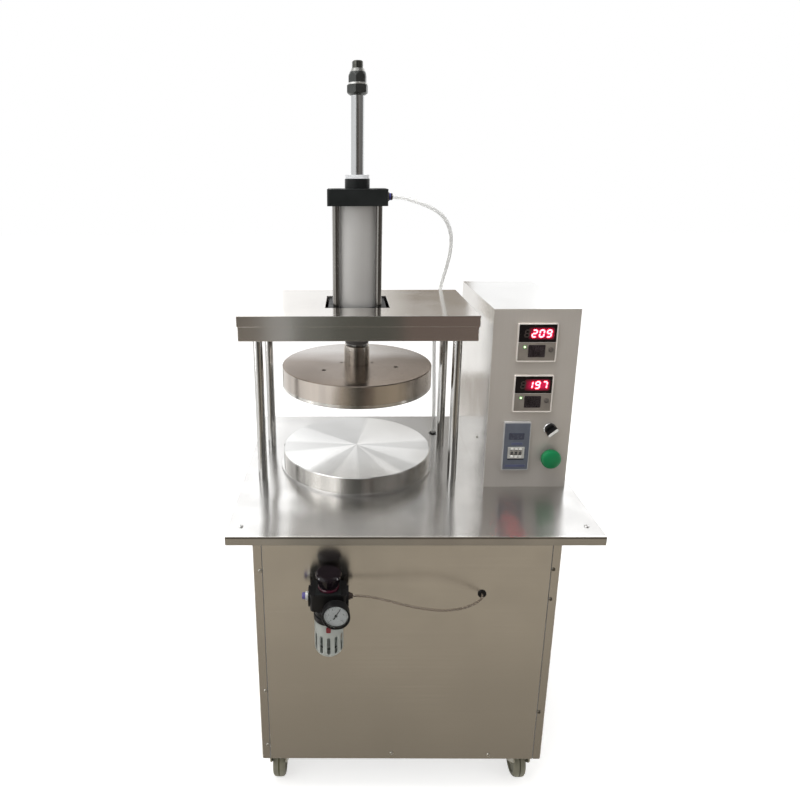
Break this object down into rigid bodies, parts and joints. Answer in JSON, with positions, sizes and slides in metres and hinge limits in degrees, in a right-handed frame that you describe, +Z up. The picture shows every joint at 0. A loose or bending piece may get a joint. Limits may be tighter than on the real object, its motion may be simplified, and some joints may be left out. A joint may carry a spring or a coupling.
{
  "type": "tortilla press",
  "caption": "Pneumatic tortilla press with heated round platens, a tie-rod air cylinder on a column frame, a control box and a filter regulator, on a stainless cabinet with casters.",
  "frame": {"origin": "on the floor, under the middle of the bounding box", "axes": "+Z up, front faces -Y, +X to the right seen from the front"},
  "size_m": [0.64, 0.5996, 1.372],
  "materials": {
    "stainless_sheet": "fine brushed stainless sheet",
    "structural_steel": "grey primed plate",
    "polished_steel": "ground and chromed bar",
    "platen_steel": "turned and polished steel",
    "zinc_plate": "zinc plated steel",
    "barrel_aluminium": "satin anodised tube",
    "black_paint": "satin black",
    "wheel_rubber": "grey moulded rubber",
    "black_plastic": "moulded black plastic",
    "black_gloss_plastic": "glossy black plastic",
    "timer_plastic": "blue grey plastic",
    "white_plastic": "white plastic",
    "green_plastic": "green moulded plastic",
    "red_plastic": "red moulded plastic",
    "grey_plastic": "light grey plastic",
    "blue_plastic": "plastic fitting with a blue collar",
    "clear_plastic": "clear polycarbonate",
    "clear_tube": "clear polyurethane tube",
    "needle_paint": "black painted needle",
    "heater_sheath": "oxidised element sheath"
  },
  "bodies": {
    "machine": {"front_panel": "stainless_sheet", "left_side_panel": "stainless_sheet", "right_side_panel": "stainless_sheet", "rear_panel": "stainless_sheet", "table_top": "stainless_sheet", "beam_tray": "stainless_sheet", "beam_cover": "stainless_sheet", "control_box_shell": "stainless_sheet", "control_box_fascia": "stainless_sheet", "base_plate": "structural_steel", "corner_posts": "structural_steel", "bed_plate": "structural_steel", "press_plate": "structural_steel", "columns": "polished_steel", "lower_platen": "platen_steel", "lower_platen_seat": "platen_steel", "column_nuts": "zinc_plate", "tie_rods": "zinc_plate", "front_caster_plates": "zinc_plate", "rear_caster_frames": "zinc_plate", "cylinder_barrel": "barrel_aluminium", "cylinder_bottom_head": "black_paint", "cylinder_top_head": "black_paint", "regulator_bracket": "black_paint", "gauge_case": "black_paint", "temperature_controllers": "black_plastic", "switch_sleeves": "black_plastic", "regulator_body": "black_plastic", "bushings": "black_plastic", "solenoid_valve": "black_plastic", "timer": "timer_plastic", "rod_wiper": "white_plastic", "bowl_guard": "grey_plastic", "air_fittings": "blue_plastic", "gauge_lens": "clear_plastic", "filter_bowl": "clear_plastic", "cylinder_hose": "clear_tube", "regulator_hose": "clear_tube", "lower_heater": "heater_sheath"},
    "press": {"piston_rod": "polished_steel", "piston": "barrel_aluminium", "stroke_nuts": "zinc_plate", "rod_coupling": "polished_steel", "upper_platen_cover": "stainless_sheet", "upper_platen": "platen_steel", "upper_heater": "heater_sheath"},
    "start_button": {"green_button": "green_plastic"},
    "selector": {"selector_knob": "black_plastic"},
    "pressure_knob": {"regulator_knob": "black_gloss_plastic"},
    "needle": {"gauge_needle": "needle_paint"},
    "lock_tab": {"bowl_lock_tab": "red_plastic"},
    "hundreds_wheel": {"hundreds_thumbwheel": "white_plastic"},
    "tens_wheel": {"tens_thumbwheel": "white_plastic"},
    "units_wheel": {"units_thumbwheel": "white_plastic"},
    "left_swivel": {"left_caster_fork": "zinc_plate"},
    "right_swivel": {"right_caster_fork": "zinc_plate"},
    "wheel_front_left": {"front_left_wheel": "wheel_rubber"},
    "wheel_front_right": {"front_right_wheel": "wheel_rubber"},
    "wheel_rear_left": {"rear_left_wheel": "wheel_rubber"},
    "wheel_rear_right": {"rear_right_wheel": "wheel_rubber"}
  },
  "joints": [
    {"name": "press_slide", "type": "slide", "parent": "machine", "child": "press", "axis": [0, 0, -1], "range_m": [0, 0.135]},
    {"name": "start_button_push", "type": "slide", "parent": "machine", "child": "start_button", "axis": [0, 1, 0], "range_m": [0, 0.0045], "stiffness_N_per_m": 800},
    {"name": "selector_turn", "type": "hinge", "parent": "machine", "child": "selector", "pos_m": [0.2695, -0.06625, 0.711], "axis": [0, -1, 0], "range_deg": [0, 90]},
    {"name": "pressure_knob_turn", "type": "hinge", "parent": "machine", "child": "pressure_knob", "pos_m": [-0.146, -0.25425, 0.52], "axis": [0, 0, 1], "range_deg": [-690, 1080]},
    {"name": "needle_turn", "type": "hinge", "parent": "machine", "child": "needle", "pos_m": [-0.133, -0.29425, 0.478], "axis": [0, -1, 0], "range_deg": [-105, 165]},
    {"name": "lock_tab_slide", "type": "slide", "parent": "machine", "child": "lock_tab", "axis": [0, 0, -1], "range_m": [0, 0.004], "stiffness_N_per_m": 300},
    {"name": "hundreds_wheel_turn", "type": "hinge", "parent": "machine", "child": "hundreds_wheel", "pos_m": [0.1993, -0.06375, 0.6645], "axis": [1, 0, 0], "continuous": true},
    {"name": "tens_wheel_turn", "type": "hinge", "parent": "machine", "child": "tens_wheel", "pos_m": [0.207, -0.06375, 0.6645], "axis": [1, 0, 0], "continuous": true},
    {"name": "units_wheel_turn", "type": "hinge", "parent": "machine", "child": "units_wheel", "pos_m": [0.2147, -0.06375, 0.6645], "axis": [1, 0, 0], "continuous": true},
    {"name": "left_caster_swivel", "type": "hinge", "parent": "machine", "child": "left_swivel", "pos_m": [-0.2505, -0.18625, 0.095], "axis": [0, 0, 1], "continuous": true},
    {"name": "front_left_wheel_spin", "type": "hinge", "parent": "left_swivel", "child": "wheel_front_left", "pos_m": [-0.2505, -0.16125, 0.0375], "axis": [1, 0, 0], "continuous": true},
    {"name": "rear_left_wheel_spin", "type": "hinge", "parent": "machine", "child": "wheel_rear_left", "pos_m": [-0.2505, 0.24575, 0.0375], "axis": [1, 0, 0], "continuous": true},
    {"name": "right_caster_swivel", "type": "hinge", "parent": "machine", "child": "right_swivel", "pos_m": [0.2265, -0.18625, 0.095], "axis": [0, 0, 1], "continuous": true},
    {"name": "front_right_wheel_spin", "type": "hinge", "parent": "right_swivel", "child": "wheel_front_right", "pos_m": [0.2265, -0.16125, 0.0375], "axis": [1, 0, 0], "continuous": true},
    {"name": "rear_right_wheel_spin", "type": "hinge", "parent": "machine", "child": "wheel_rear_right", "pos_m": [0.2265, 0.24575, 0.0375], "axis": [1, 0, 0], "continuous": true}
  ],
  "couplings": [
    {"joint": "needle_turn", "follows": "pressure_knob_turn", "ratio": 0.15}
  ]
}
